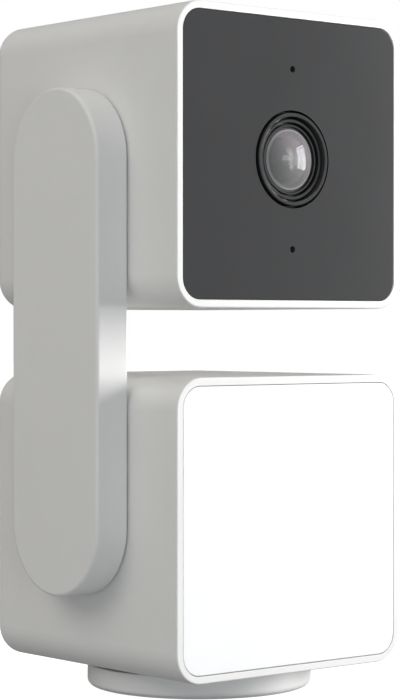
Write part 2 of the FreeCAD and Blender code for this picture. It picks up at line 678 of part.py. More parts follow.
def inlet_board():
    """Small board behind the rear wall, with the setup switch on it."""
    y = INLET_BOARD_Y + BOARD_T
    board = box(-21.5, 1.0, INLET_BOARD_Y, y, 13.2, 22.6)
    board = cut(board, *holes_along_y(PASS_R, INLET_BOARD_SCREWS, INLET_BOARD_Y - 1, y + 1))
    x, z = BUTTON
    body = box(x - 2.4, x + 2.4, y, y + 2.6, z - 2.4, z + 2.4)
    return Part.makeCompound([board, fuse(body, rod(1.3, (x, y + 2.5, z), (x, y + 3.7, z)))])


def power_inlet():
    """Reversible power socket: a steel shell with a plastic tongue."""
    x, z = INLET
    y0, y1 = INLET_BOARD_Y + BOARD_T, REAR_Y - 0.8
    shell = obround(8.94, 3.26, x, y0, y1, z).cut(obround(8.34, 2.66, x, y0 + 1.6, y1 + 1, z))
    tongue = box(x - 3.3, x + 3.3, y0 + 1.6, y1 - 1.0, z - 0.35, z + 0.35)
    return Part.makeCompound([shell, tongue])


def setup_button():
    """Round push button in the rear wall, with a collar inside so that it can't fall out."""
    x, z = BUTTON
    top = REAR_Y - 0.15
    cap = rod(BUTTON_R, (x, REAR_Y - 3.8, z), (x, top, z))
    cap = cap.makeFillet(0.5, edges_at(cap, ALONG_Y, top))
    collar = rod(3.4, (x, REAR_Y - 3.8, z), (x, IN_REAR - 0.3, z))
    stem = rod(1.2, (x, REAR_Y - 4.8, z), (x, REAR_Y - 3.7, z))
    return fuse(cap, collar, stem)


# ======================================= arm =============================================================
FLANGE_R = 9.6
FLANGE_X = LID_IN - 1.0
ARM_SCREWS = [(6.6, LIGHT_Z + 17.0), (-6.6, (LIGHT_Z + HEAD_Z) / 2), (6.6, HEAD_Z - 17.0)]   # Y and Z
CABLE_R = 1.1
CABLE_X = (ARM_OUT + ARM_WALL + FLANGE_X) / 2
SLIP_RING_X = (-23.4, -19.6, -9.5)   # its seat in the hub's bore, the hub's end, and the core's free end


def arm_cover():
    """Outer shell of the arm: a hollow slab with round ends."""
    slab = stadium(ARM_R, ARM_OUT, ARM_IN)
    slab = slab.makeFillet(ARM_EDGE_R, edges_at(slab, ALONG_X, ARM_OUT))
    slab = slab.makeFillet(0.2, edges_at(slab, ALONG_X, ARM_IN))
    hollow = stadium(ARM_R - ARM_WALL - 0.6, ARM_OUT + ARM_WALL, LID_IN)
    lid_seat = stadium(ARM_R - ARM_WALL + 0.05, LID_IN, ARM_IN + 1)
    bosses = [rod(2.0, (ARM_OUT + 1.0, y, z), (LID_IN, y, z)) for y, z in ARM_SCREWS]
    holes = [rod(PILOT_R, (ARM_OUT + 1.2, y, z), (ARM_IN, y, z)) for y, z in ARM_SCREWS]
    return cut(fuse(cut(slab, hollow, lid_seat), *bosses), *holes)


def arm_lid():
    """Inner plate that closes the arm, with a hole at each end and three sunk screw holes."""
    lid = stadium(ARM_R - ARM_WALL, LID_IN, ARM_IN)
    ends = [rod(TILT_HUB_R, (LID_IN - 1, 0, z), (ARM_IN + 1, 0, z)) for z in (LIGHT_Z, HEAD_Z)]
    holes = [rod(PASS_R, (LID_IN - 1, y, z), (ARM_IN + 1, y, z)) for y, z in ARM_SCREWS]
    sinks = [rod(2.0, (ARM_IN - 0.7, y, z), (ARM_IN + 1, y, z)) for y, z in ARM_SCREWS]
    return cut(lid, *ends, *holes, *sinks)


def arm_screws():
    return Part.makeCompound([screw((ARM_IN - 0.7, y, z), (1, 0, 0), 1.8, 0.6, 3.6) for y, z in ARM_SCREWS])


def arm_sleeve():
    """Flanged tube that fixes the arm's lower end to the light block."""
    flange = tube(FLANGE_R, TILT_HUB_BORE, (FLANGE_X, 0, LIGHT_Z), (LID_IN, 0, LIGHT_Z))
    sleeve = tube(TILT_HUB_R, TILT_HUB_BORE, (LID_IN - 0.5, 0, LIGHT_Z), (-22.4, 0, LIGHT_Z))
    spacer = tube(8.6, TILT_HUB_R - 0.2, (ARM_IN, 0, LIGHT_Z), (-HALF_W, 0, LIGHT_Z))
    return fuse(flange, sleeve, spacer)


def arm_nut():
    """Slotted ring nut on the sleeve, inside the light block."""
    ring = tube(9.2, TILT_HUB_R + 0.01, (-IN_X, 0, LIGHT_Z), (-22.6, 0, LIGHT_Z))
    slots = []
    for k in range(6):
        slot = box(-25.0, -22.0, 8.2, 9.6, -0.9, 0.9)
        slot.rotate(V(0, 0, 0), ALONG_X, 60 * k)
        slot.translate(V(0, 0, LIGHT_Z))
        slots.append(slot)
    return cut(ring, *slots)


def arm_cable():
    """Cable from the control board's socket, up through the arm, to the slip ring on the tilt axis."""
    low, high = 3.0, 2.6
    start_x = -12.0
    k, m = low * (1 - math.sqrt(0.5)), high * (1 - math.sqrt(0.5))
    return cable(CABLE_R, (start_x, -3.8, LIGHT_Z), [
        (start_x, -low, LIGHT_Z),
        ((start_x - k, -k, LIGHT_Z), (start_x - low, 0, LIGHT_Z)),
        (CABLE_X + high, 0, LIGHT_Z),
        ((CABLE_X + m, 0, LIGHT_Z + m), (CABLE_X, 0, LIGHT_Z + high)),
        (CABLE_X, 0, HEAD_Z - high),
        ((CABLE_X + m, 0, HEAD_Z - m), (CABLE_X + high, 0, HEAD_Z)),
        (SLIP_RING_X[0], 0, HEAD_Z),
    ])


def slip_ring_core():
    """Fixed half of the slip ring, pressed in the tilt hub, with contact grooves."""
    x0, x1, x2 = SLIP_RING_X
    seat = rod(TILT_HUB_BORE, about_head(0, 0, x0), about_head(0, 0, x1))
    core = rod(2.4, about_head(0, 0, x1 - 0.1), about_head(0, 0, x2))
    starts = (-14.2, -13.0, -11.8)
    grooves = [tube(2.6, 2.15, about_head(0, 0, x), about_head(0, 0, x + 0.5)) for x in starts]
    return cut(fuse(seat, core), *grooves)


def tilt_hub():
    """Flanged hollow shaft on the arm's upper end, that the camera block tilts on."""
    flange = tube(FLANGE_R, TILT_HUB_BORE, (FLANGE_X, 0, HEAD_Z), (LID_IN, 0, HEAD_Z))
    shaft = tube(TILT_HUB_R, TILT_HUB_BORE, (LID_IN - 0.5, 0, HEAD_Z), (-19.6, 0, HEAD_Z))
    return fuse(flange, shaft)


def tilt_gear():
    """Gear fixed on the tilt hub, that the tilt motor's pinion walks round."""
    wheel = gear(TILT_TEETH, TILT_GEAR_X[1] - TILT_GEAR_X[0], TILT_HUB_R + 0.01)
    return gear_across(wheel, facing(TILT_PINION), about_head(0, 0, TILT_GEAR_X[0]))


def tilt_retainer():
    """Snap ring on the tilt hub that holds the tilt gear, with the lug that ends the tilt travel."""
    x0, x1 = TILT_GEAR_X[1], TILT_GEAR_X[1] + 0.8
    lug = box(x0, x1, 7.4, 10.4, -0.7, 0.7)
    lug.rotate(V(0, 0, 0), ALONG_X, TILT_STOP[2])
    lug.translate(V(0, 0, HEAD_Z))
    ring = fuse(tube(8.2, TILT_HUB_R + 0.01, about_head(0, 0, x0), about_head(0, 0, x1)), lug)
    return ring.cut(box(x0 - 1, x1 + 1, -1.2, 1.2, HEAD_Z + 5, HEAD_Z + 9))


# ======================================= camera block ====================================================
def board_points():
    """X and Z of the camera board's four screws."""
    return [(x, HEAD_Z + z) for x, z in four_corners(CAMERA_BOARD_HOLE, CAMERA_BOARD_HOLE)]


def head_housing():
    """Shell of the camera block, with its screw posts, the bush's hole and the memory card slot."""
    x, z = CARD
    shelf = box(x - 9.5, x + 9.0, REAR_Y - 10.0, IN_REAR + 0.5, z - 3.6, z - 2.4)
    shell = fuse(block_shell(HEAD_Z), *corner_posts(HEAD_Z, CHASSIS_Y[1]), shelf)
    half_w, half_h = CARD_SLOT[0] / 2, CARD_SLOT[1] / 2
    holes = [
        rod(TILT_BUSH_R, about_head(0, 0, -HALF_W - 1), about_head(0, 0, -IN_X + 1)),
        box(x - half_w, x + half_w, IN_REAR - 1, REAR_Y + 1, z - half_h, z + half_h),
        obround(8.0, 3.4, x, REAR_Y - 0.8, REAR_Y + 1, z),
    ]
    holes += holes_along_y(PILOT_R, post_points(HEAD_Z), CHASSIS_Y[1], CHASSIS_Y[1] + 8)
    return cut(shell, *holes)


def face_plate():
    """Dark front panel with the lens opening and two pinholes."""
    pins = [(0, HEAD_Z - PINHOLE_Z), (0, HEAD_Z + PINHOLE_Z)]
    holes = holes_along_y(RING_OUT, [(0, HEAD_Z)], FRONT_Y - 1, PANEL_BACK + 1)
    holes += holes_along_y(PINHOLE_R, pins, FRONT_Y - 1, PANEL_BACK + 1)
    return cut(front_panel(HEAD_Z), *holes)


def lens_ring():
    """Bead round the lens opening, a little proud of the face plate, with a flange behind it."""
    front = -RING_PROUD
    profile = [(RING_IN, front + 0.12), (RING_IN + 0.12, front), (RING_R - 0.12, front),
               (RING_R, front + 0.12), (RING_R, 1.75), (10.2, 1.75), (10.2, 2.9), (RING_IN, 2.9)]
    return lathe(profile, (0, FRONT_Y, HEAD_Z), (0, 1, 0))


def lens_hood():
    """Hood between the lens ring and the lens: two narrow lands with a groove outside each."""
    r, land, step = RING_IN - 0.05, RING_IN - 0.4, GLASS_R + 0.85
    groove, inner = land - 0.55, GLASS_R + 0.5
    profile = [(r, 1.4), (land, 1.4), (land, 0.45), (land - 0.08, 0.37), (groove + 0.08, 0.37),
               (groove, 0.45), (groove, 1.4), (step, 1.4), (step, 0.78), (step - 0.06, 0.72), (inner, 0.72),
               (inner, 5.2), (r, 5.2)]
    return lathe(profile, (0, FRONT_Y, HEAD_Z), (0, 1, 0))


def dome(radius, rise, depth):
    """Spherical cap with its top at -rise, standing on a plate from 0 to depth."""
    sphere_r = (radius ** 2 + rise ** 2) / (2 * rise)
    half_angle = math.asin(radius / sphere_r) / 2
    top, side = V(0, 0, -rise), V(radius, 0, 0)
    middle = V(sphere_r * math.sin(half_angle), 0, sphere_r - rise - sphere_r * math.cos(half_angle))
    low_side, low_axis = V(radius, 0, depth), V(0, 0, depth)
    edges = [
        Part.Arc(top, middle, side).toShape(),
        Part.LineSegment(side, low_side).toShape(),
        Part.LineSegment(low_side, low_axis).toShape(),
        Part.LineSegment(low_axis, top).toShape(),
    ]
    return Part.Face(Part.Wire(edges)).revolve(V(0, 0, 0), ALONG_Z, 360)


def lens_dome():
    """Front lens element: a domed meniscus."""
    inner = dome(GLASS_R - 1.3, GLASS_RISE - 0.15, 0.9)
    inner.translate(V(0, 0, 0.95))
    outer = dome(GLASS_R, GLASS_RISE, 0.7)
    return placed(outer.cut(inner), (0, FRONT_Y + GLASS_EDGE, HEAD_Z), (0, 1, 0))


def lens_barrel():
    """Lens barrel: a head round the front element, and a narrower body in the lens holder."""
    edge = GLASS_EDGE
    seat = ELEMENT_Y + 0.81
    bore, seat_bore = GLASS_R + 0.01, ELEMENT_R + 0.01
    profile = [(bore, edge + 0.05), (GLASS_R + 0.4, edge + 0.05), (GLASS_R + 0.4, 5.4), (5.0, 5.4),
               (5.0, 9.2), (3.0, 9.2), (3.0, seat), (seat_bore, seat), (seat_bore, edge + 0.71),
               (bore, edge + 0.71)]
    return lathe(profile, (0, FRONT_Y, HEAD_Z), (0, 1, 0))


def lens_element():
    """Second lens element, seated in the barrel behind the front one."""
    return placed(dome(ELEMENT_R, 0.85, 0.8), (0, FRONT_Y + ELEMENT_Y, HEAD_Z), (0, 1, 0))


def lens_holder():
    """Square holder on the camera board that the lens barrel screws into."""
    half, y0, shoulder = 7.2, FRONT_Y + 6.0, FRONT_Y + 9.3
    holder = rounded_box(-half, half, y0, CAMERA_BOARD_Y, HEAD_Z - half, HEAD_Z + half, 1.0)
    bore = rod(5.03, (0, y0 - 1, HEAD_Z), (0, shoulder, HEAD_Z))
    room = box(-5.2, 5.2, shoulder, CAMERA_BOARD_Y + 1, HEAD_Z - 5.2, HEAD_Z + 5.2)
    return cut(holder, bore, room)


def image_sensor():
    y = CAMERA_BOARD_Y
    package = box(-4.2, 4.2, y - 0.9, y, HEAD_Z - 4.2, HEAD_Z + 4.2)
    window = box(-3.4, 3.4, y - 1.1, y - 0.9, HEAD_Z - 3.0, HEAD_Z + 3.0)
    return Part.makeCompound([package, window])


def camera_board():
    y0, y1 = CAMERA_BOARD_Y, CAMERA_BOARD_Y + BOARD_T
    board = rounded_box(-20.5, 20.5, y0, y1, HEAD_Z - 20.5, HEAD_Z + 20.5, 2.0)
    return cut(board, *holes_along_y(PASS_R, board_points(), y0 - 1, y1 + 1))


def camera_board_parts():
    """Processor, memory, shield and cable socket on the back of the camera board."""
    y, z = CAMERA_BOARD_Y + BOARD_T, HEAD_Z
    return Part.makeCompound([
        box(-6.0, 6.0, y, y + 1.2, z + 5.5, z + 17.5),
        box(8.5, 15.5, y, y + 1.0, z + 6.0, z + 13.0),
        box(-5.5, 5.5, y, y + 0.9, z - 8.5, z + 2.5),
        box(6.8, 12.0, y, y + 2.4, z - 2.0, z + 2.0),
    ])


def infrared_leds():
    """Four infrared LEDs on the board's front, behind the dark face plate."""
    leds = []
    for x, dz in four_corners(13.0, 9.0):
        y, z = CAMERA_BOARD_Y - 3.6, HEAD_Z + dz
        leds.append(rod(1.5, (x, y, z), (x, CAMERA_BOARD_Y, z)).fuse(Part.makeSphere(1.5, V(x, y, z))))
    return Part.makeCompound(leds)


def microphone():
    """Microphone capsule with the rubber boot that seals it to the upper pinhole."""
    y, z = CAMERA_BOARD_Y - 1.4, HEAD_Z + PINHOLE_Z
    capsule = rod(1.9, (0, y, z), (0, CAMERA_BOARD_Y, z))
    boot = tube(2.1, PINHOLE_R, (0, PANEL_BACK, z), (0, y, z))
    return Part.makeCompound([capsule, boot])


def status_light():
    """Status LED, with the clear light pipe that carries it to the lower pinhole."""
    z = HEAD_Z - PINHOLE_Z
    chip = box(-0.9, 0.9, CAMERA_BOARD_Y - 0.7, CAMERA_BOARD_Y, z - 0.5, z + 0.5)
    thick = rod(1.4, (0, PANEL_BACK, z), (0, CAMERA_BOARD_Y - 0.9, z))
    tip = rod(PINHOLE_R - 0.05, (0, FRONT_Y + 0.5, z), (0, PANEL_BACK + 0.5, z))
    return Part.makeCompound([chip, fuse(thick, tip)])


def head_chassis():
    """Moulded frame for the camera board, the tilt motor and the slip ring, with two stop pegs."""
    y0, y1 = CHASSIS_Y
    x0, x1 = MOTOR_WALL_X
    front = rounded_box(-24.2, 24.2, y0, y1, HEAD_Z - 24.0, HEAD_Z + 24.0, 3.6)
    wall = box(x0, x1, y1 - 0.2, 24.8, HEAD_Z - 23.6, HEAD_Z + 8.0)
    spacers = holes_along_y(2.2, board_points(), CAMERA_BOARD_Y + BOARD_T, y0 + 0.2)
    peg_points = [polar(TILT_STOP_R, a) for a in TILT_STOP[:2]]
    pegs = [rod(0.9, about_head(*p, x0 - 3.2), about_head(*p, x0 + 0.5)) for p in peg_points]
    ears = ear_points(CAN_TILT, TILT_EARS)
    holes = [
        box(-25, x0, y0 - 1, y1 + 1, HEAD_Z - 14.5, HEAD_Z + 14.5),
        rounded_box(-8.0, 18.0, y0 - 1, y1 + 1, HEAD_Z - 10.0, HEAD_Z + 19.5, 2.0),
        rod(4.2, about_head(0, 0, x0 - 1), about_head(0, 0, x1 + 1)),
        rod(3.6, about_head(*TILT_PINION, x0 - 1), about_head(*TILT_PINION, x1 + 1)),
    ]
    holes += [rod(PILOT_R, about_head(*p, x0 - 1), about_head(*p, x1 + 1)) for p in ears]
    holes += holes_along_y(PASS_R, post_points(HEAD_Z), y0 - 1, y1 + 1)
    holes += holes_along_y(PILOT_R, board_points(), y0 - 2, y1 + 1)
    return cut(fuse(front, wall, *spacers, *pegs), *holes)


def head_cable():
    """Turning half of the slip ring on the chassis wall, and the cable from it to the camera board."""
    x0 = MOTOR_WALL_X[1]
    profile = [(2.75, 0), (7.2, 0), (7.2, 1.0), (4.4, 1.0), (4.4, 7.0), (0, 7.0), (0, 6.2), (2.75, 6.2)]
    shell = lathe(profile, about_head(0, 0, x0), (1, 0, 0))
    bend, end_x = 5.0, 9.4
    k = bend * (1 - math.sqrt(0.5))
    jacket = cable(CABLE_R, about_head(0, 0, x0 + 7.0), [
        (end_x - bend, 0, HEAD_Z),
        ((end_x - k, -k, HEAD_Z), (end_x, -bend, HEAD_Z)),
        (end_x, CAMERA_BOARD_Y + BOARD_T + 2.4, HEAD_Z),
    ])
    return Part.makeCompound([shell, jacket])


def tilt_motor():
    return motor(TILT_PINION, CAN_TILT, ear_points(CAN_TILT, TILT_EARS), MOTOR_WALL_X[1], about_head)


def tilt_pinion():
    """Tilt motor's shaft and pinion in one piece, in mesh with the tilt gear."""
    x0, x1 = TILT_GEAR_X[0] - 0.3, TILT_GEAR_X[1] + 0.3
    wheel = gear_across(gear(PINION_TEETH, x1 - x0), meshing(TILT_PINION), about_head(*TILT_PINION, x0))
    end = MOTOR_WALL_X[1] + 4.8
    return wheel.fuse(rod(SHAFT_R, about_head(*TILT_PINION, x1 - 0.5), about_head(*TILT_PINION, end)))


def head_screws():
    """Four chassis screws, four board screws and the tilt motor's two."""
    forward, right = (0, -1, 0), (1, 0, 0)
    ears = [about_head(*p, MOTOR_WALL_X[1] + EAR_T) for p in ear_points(CAN_TILT, TILT_EARS)]
    screws = [screw((x, CHASSIS_Y[0], z), forward, 1.9, 0.9, 7.2) for x, z in post_points(HEAD_Z)]
    screws += [screw((x, CAMERA_BOARD_Y, z), forward, 1.8, 1.0, 3.5) for x, z in board_points()]
    screws += [screw(ear, right, 1.8, 1.0, 2.2) for ear in ears]
    return Part.makeCompound(screws)


def tilt_bush():
    """Flanged bush in the camera block's left wall, that turns on the tilt hub."""
    bore = TILT_HUB_R + RUNNING
    sleeve = tube(TILT_BUSH_R, bore, about_head(0, 0, -HALF_W), about_head(0, 0, -IN_X + 0.5))
    flange = tube(10.2, bore, about_head(0, 0, -IN_X), about_head(0, 0, -IN_X + 0.9))
    return fuse(sleeve, flange)


def card_socket():
    """Memory card socket on its own small board, behind the rear slot."""
    x, z = CARD
    end = REAR_Y - 3.0
    board = box(x - 9.5, x + 9.0, end - 19.0, end, z - 2.4, z - 1.4)
    shell = box(x - 7.2, x + 7.2, end - 16.0, end, z - 1.4, z + 1.3)
    mouth = box(x - 5.8, x + 5.8, end - 14.5, end + 1, z - 0.6, z + 0.6)
    return Part.makeCompound([board, shell.cut(mouth)])


# ======================================= build ===========================================================
NODES = {
    "base_cover": base_cover,
    "base_plate": base_plate,
    "foot_ring": foot_ring,
    "base_weight": base_weight,
    "tripod_insert": tripod_insert,
    "base_screws": base_screws,
    "pan_gear": pan_gear,
    "pan_retainer": pan_retainer,
    "light_housing": light_housing,
    "light_diffuser": lambda: front_panel(LIGHT_Z),
    "light_gasket": lambda: panel_gasket(LIGHT_Z),
    "light_reflector": light_reflector,
    "led_board": led_board,
    "led_chips": led_chips,
    "heatsink": heatsink,
    "main_board": main_board,
    "main_board_parts": main_board_parts,
    "pan_motor_bracket": pan_motor_bracket,
    "pan_motor": pan_motor,
    "pan_pinion": pan_pinion,
    "light_screws": light_screws,
    "pan_bush": pan_bush,
    "speaker_frame": speaker_frame,
    "speaker_cone": speaker_cone,
    "inlet_board": inlet_board,
    "power_inlet": power_inlet,
    "setup_button": setup_button,
    "arm_cover": arm_cover,
    "arm_lid": arm_lid,
    "arm_screws": arm_screws,
    "arm_sleeve": arm_sleeve,
    "arm_nut": arm_nut,
    "arm_cable": arm_cable,
    "slip_ring_core": slip_ring_core,
    "tilt_hub": tilt_hub,
    "tilt_gear": tilt_gear,
    "tilt_retainer": tilt_retainer,
    "head_housing": head_housing,
    "face_plate": face_plate,
    "face_gasket": lambda: panel_gasket(HEAD_Z),
    "lens_ring": lens_ring,
    "lens_hood": lens_hood,
    "lens_dome": lens_dome,
    "lens_barrel": lens_barrel,
    "lens_element": lens_element,
    "lens_holder": lens_holder,
    "image_sensor": image_sensor,
    "camera_board": camera_board,
    "camera_board_parts": camera_board_parts,
    "infrared_leds": infrared_leds,
    "microphone": microphone,
    "status_light": status_light,
    "head_chassis": head_chassis,
    "head_cable": head_cable,
    "head_screws": head_screws,
    "tilt_motor": tilt_motor,
    "tilt_pinion": tilt_pinion,
    "tilt_bush": tilt_bush,
    "card_socket": card_socket,
}


def main():
    os.makedirs("parts", exist_ok=True)
    for name, build in NODES.items():
        solids = build().Solids
        if not solids or not all(s.isValid() and s.isClosed() and s.Volume > 0 for s in solids):
            raise RuntimeError(f"{name} isn't made of closed solids")
        shape = Part.makeCompound(solids)
        shape.exportStep(f"parts/{name}.step")
        size = shape.optimalBoundingBox(False, False)
        print(f"{name}: {len(solids)} solids, {size.XLength:.2f} x {size.YLength:.2f} x {size.ZLength:.2f}")


main()
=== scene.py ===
"""Looks, lights and camera for the two-block security camera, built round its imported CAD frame."""

import math

import bmesh
import bpy
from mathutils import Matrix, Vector


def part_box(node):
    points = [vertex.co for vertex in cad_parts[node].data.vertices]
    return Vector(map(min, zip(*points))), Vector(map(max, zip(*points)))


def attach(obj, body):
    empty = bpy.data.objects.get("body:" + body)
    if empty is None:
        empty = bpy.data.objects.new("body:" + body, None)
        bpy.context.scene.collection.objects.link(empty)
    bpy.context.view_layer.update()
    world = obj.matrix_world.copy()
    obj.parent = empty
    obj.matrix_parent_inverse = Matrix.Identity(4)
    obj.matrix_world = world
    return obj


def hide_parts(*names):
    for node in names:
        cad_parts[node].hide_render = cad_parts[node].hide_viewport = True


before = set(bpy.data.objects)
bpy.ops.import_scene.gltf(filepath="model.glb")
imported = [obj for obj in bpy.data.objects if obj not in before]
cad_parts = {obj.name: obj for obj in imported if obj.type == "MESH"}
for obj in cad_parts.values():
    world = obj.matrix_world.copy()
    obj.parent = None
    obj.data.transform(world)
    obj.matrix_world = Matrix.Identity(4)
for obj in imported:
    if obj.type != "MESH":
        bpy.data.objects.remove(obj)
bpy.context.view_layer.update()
MM = 0.001
NOISE_LOW, NOISE_HIGH = 0.3, 0.7
RANGE_SOCKETS = ("From Min", "From Max", "To Min", "To Max")
XY, XZ = (0, 1), (0, 2)


# ===================== places read from the frame =================================================
def centre_of(node):
    low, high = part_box(node)
    return (low + high) / 2


LENS_AXIS = centre_of("lens_ring")
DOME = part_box("lens_dome")
SPEAKER = centre_of("speaker_cone")


# ===================== node graph helpers =========================================================
class Finish:
    """One procedural material: a single Principled surface with its pattern nodes."""

    def __init__(self, name, **sockets):
        self.material = bpy.data.materials.new(name)
        self.material.use_nodes = True
        self.tree = self.material.node_tree
        self.tree.nodes.clear()
        self.output = self.node("ShaderNodeOutputMaterial")
        self.surface = self.node("ShaderNodeBsdfPrincipled")
        self.link(self.surface.outputs["BSDF"], self.output.inputs["Surface"])
        for socket, value in sockets.items():
            self.set(socket.replace("_", " "), value)
        self.coords = self.node("ShaderNodeTexCoord")
        self.normal = None

    def node(self, kind, **settings):
        made = self.tree.nodes.new(kind)
        for key, value in settings.items():
            setattr(made, key, value)
        return made

    def link(self, source, target):
        self.tree.links.new(source, target)

    def set(self, socket, value):
        target = self.surface.inputs[socket]
        if isinstance(value, (tuple, list)) and len(value) == 3 and target.type == "RGBA":
            value = (*value, 1.0)
        target.default_value = value

    def plug(self, socket, source):
        self.link(source, self.surface.inputs[socket])

    def place(self, origin=(0, 0, 0), scale=(1, 1, 1), turn=(0, 0, 0)):
        """Position on the part in metres, from origin, then scaled and turned."""
        moved = self.node("ShaderNodeVectorMath", operation="SUBTRACT")
        self.link(self.coords.outputs["Object"], moved.inputs[0])
        moved.inputs[1].default_value = origin
        mapping = self.node("ShaderNodeMapping")
        mapping.inputs["Rotation"].default_value = turn
        mapping.inputs["Scale"].default_value = scale
        self.link(moved.outputs[0], mapping.inputs["Vector"])
        return mapping.outputs["Vector"]

    def noise(self, size_mm, detail=2.0, rough=0.5, place=None):
        """Noise from 0 to 1 whose lumps are about size_mm across."""
        made = self.node("ShaderNodeTexNoise")
        made.inputs["Scale"].default_value = 1.0 / (size_mm * MM)
        made.inputs["Detail"].default_value = detail
        made.inputs["Roughness"].default_value = rough
        self.link(place or self.coords.outputs["Object"], made.inputs["Vector"])
        return made.outputs["Fac"]

    def cells(self, size_mm):
        """Distance to the nearest of points that are about size_mm apart, 0 at each point."""
        made = self.node("ShaderNodeTexVoronoi", feature="F1")
        made.inputs["Scale"].default_value = 1.0 / (size_mm * MM)
        self.link(self.coords.outputs["Object"], made.inputs["Vector"])
        return made.outputs["Distance"]

    def math(self, operation, first, second=0.0):
        made = self.node("ShaderNodeMath", operation=operation)
        for socket, value in zip(made.inputs, (first, second)):
            if isinstance(value, (int, float)):
                socket.default_value = value
            else:
                self.link(value, socket)
        return made.outputs[0]

    def spread(self, source, low, high, to_low, to_high, kind="LINEAR"):
        """source's range low to high, carried to another range and held there."""
        made = self.node("ShaderNodeMapRange", interpolation_type=kind)
        self.link(source, made.inputs["Value"])
        for socket, value in zip(RANGE_SOCKETS, (low, high, to_low, to_high)):
            made.inputs[socket].default_value = value
        return made.outputs["Result"]

    def vary(self, noise, low=0, high=1):
        """A noise's middle range, where most of it lies, carried to low to high."""
        return self.spread(noise, NOISE_LOW, NOISE_HIGH, low, high)

    def mixture(self, first, second, share):
        """first and second added up, with share of first and the rest of second."""
        rest = self.math("MULTIPLY", second, 1 - share)
        return self.math("ADD", self.math("MULTIPLY", first, share), rest)

    def blend(self, share, first, second):
        """first at share 0 and second at share 1, as colours."""
        made = self.node("ShaderNodeMix", data_type="RGBA")
        self.link(share, made.inputs["Factor"])
        for socket, value in ((made.inputs[6], first), (made.inputs[7], second)):
            if isinstance(value, (tuple, list)):
                socket.default_value = (*value, 1.0)
            else:
                self.link(value, socket)
        return made.outputs[2]

    def bump(self, height, depth_mm):
        """Adds relief of depth_mm to whatever relief there is."""
        made = self.node("ShaderNodeBump")
        made.inputs["Strength"].default_value = 1.0
        made.inputs["Distance"].default_value = depth_mm * MM
        self.link(height, made.inputs["Height"])
        if self.normal is not None:
            self.link(self.normal, made.inputs["Normal"])
        self.normal = made.outputs["Normal"]
        self.plug("Normal", self.normal)

    def axes(self, origin):
        """Distances in metres from origin along X, Y and Z."""
        parts = self.node("ShaderNodeSeparateXYZ")
        self.link(self.place(origin), parts.inputs[0])
        return parts.outputs

    def rings(self, origin, across, pitch_mm):
        """Wave from -1 to 1 in rings round the line through origin, pitch_mm apart."""
        turns = 2 * math.pi / (pitch_mm * MM)
        return self.math("SINE", self.math("MULTIPLY", self.radius(origin, across), turns))

    def radius(self, origin, across):
        """Distance in metres from the line through origin; across names the two axes that are measured."""
        axes = self.axes(origin)
        first, second = (self.math("MULTIPLY", axes[a], axes[a]) for a in across)
        return self.math("SQRT", self.math("ADD", first, second))


def shade(colour, factor):
    return tuple(min(1.0, c * factor) for c in colour)


# ===================== finishes ===================================================================
def moulded(name, colour, roughness, grain=0.22, depth=0.004, tone=0.03, uneven=0.05, **sockets):
    """Spark-eroded moulded plastic: fine even grain, a slow waviness, and slightly uneven tone and gloss."""
    f = Finish(name, Specular_IOR_Level=0.45, **sockets)
    fine = f.noise(grain, 3.0, 0.6)
    pores = f.cells(grain * 1.7)
    slow = f.noise(14.0, 2.0)
    middle = f.noise(2.6, 2.0)
    tint = f.mixture(slow, middle, 0.65)
    f.plug("Base Color", f.blend(f.vary(tint), shade(colour, 1 - tone), shade(colour, 1 + tone)))
    gloss = f.mixture(fine, slow, 0.5)
    f.plug("Roughness", f.vary(gloss, roughness - uneven, roughness + uneven))
    f.bump(slow, 0.02)
    f.bump(pores, depth * 0.6)
    f.bump(fine, depth)
    return f.material


def rubber(name, colour, roughness=0.75):
    """Soft rubber: coarse dull grain with paler dust in it."""
    f = Finish(name, Specular_IOR_Level=0.3)
    grain = f.noise(0.3, 4.0, 0.7)
    dust = f.noise(1.4, 5.0, 0.7)
    f.plug("Base Color", f.blend(f.spread(dust, 0.5, 0.8, 0, 0.35), colour, shade(colour, 1.7)))
    f.plug("Roughness", f.vary(grain, roughness - 0.08, roughness + 0.1))
    f.bump(grain, 0.012)
    return f.material


def stamped(name, colour, roughness, stretch=(1, 1, 14), fine=0.12):
    """Rolled and stamped metal: lines longest where stretch is largest, soft blotches, fine scratches."""
    f = Finish(name, Metallic=1.0)
    along_x, along_y, along_z = stretch
    lines = f.noise(fine, 3.0, 0.6, f.place(scale=(along_z / along_x, along_z / along_y, 1.0)))
    blotch = f.noise(3.2, 3.0)
    scratch = f.noise(0.5, 2.0, 0.5, f.place(scale=(1, 9, 1), turn=(0.3, 0.5, 0.9)))
    f.plug("Base Color", f.blend(f.vary(blotch), shade(colour, 0.86), shade(colour, 1.08)))
    mixed = f.mixture(lines, blotch, 0.6)
    f.plug("Roughness", f.vary(mixed, roughness - 0.08, roughness + 0.12))
    f.bump(lines, 0.003)
    f.bump(f.spread(scratch, 0.62, 0.68, 0, 1), 0.002)
    return f.material


def turned_metal(name, colour, roughness, origin, across):
    """Lathe-turned metal with fine rings round its own axis."""
    f = Finish(name, Metallic=1.0)
    ring = f.rings(origin, across, 0.16)
    wear = f.noise(0.9, 4.0)
    f.plug("Base Color", f.blend(f.spread(wear, 0.35, 0.7, 0, 1), shade(colour, 0.85), shade(colour, 1.1)))
    f.plug("Roughness", f.vary(wear, roughness - 0.07, roughness + 0.1))
    f.bump(ring, 0.0025)
    f.bump(wear, 0.004)
    return f.material


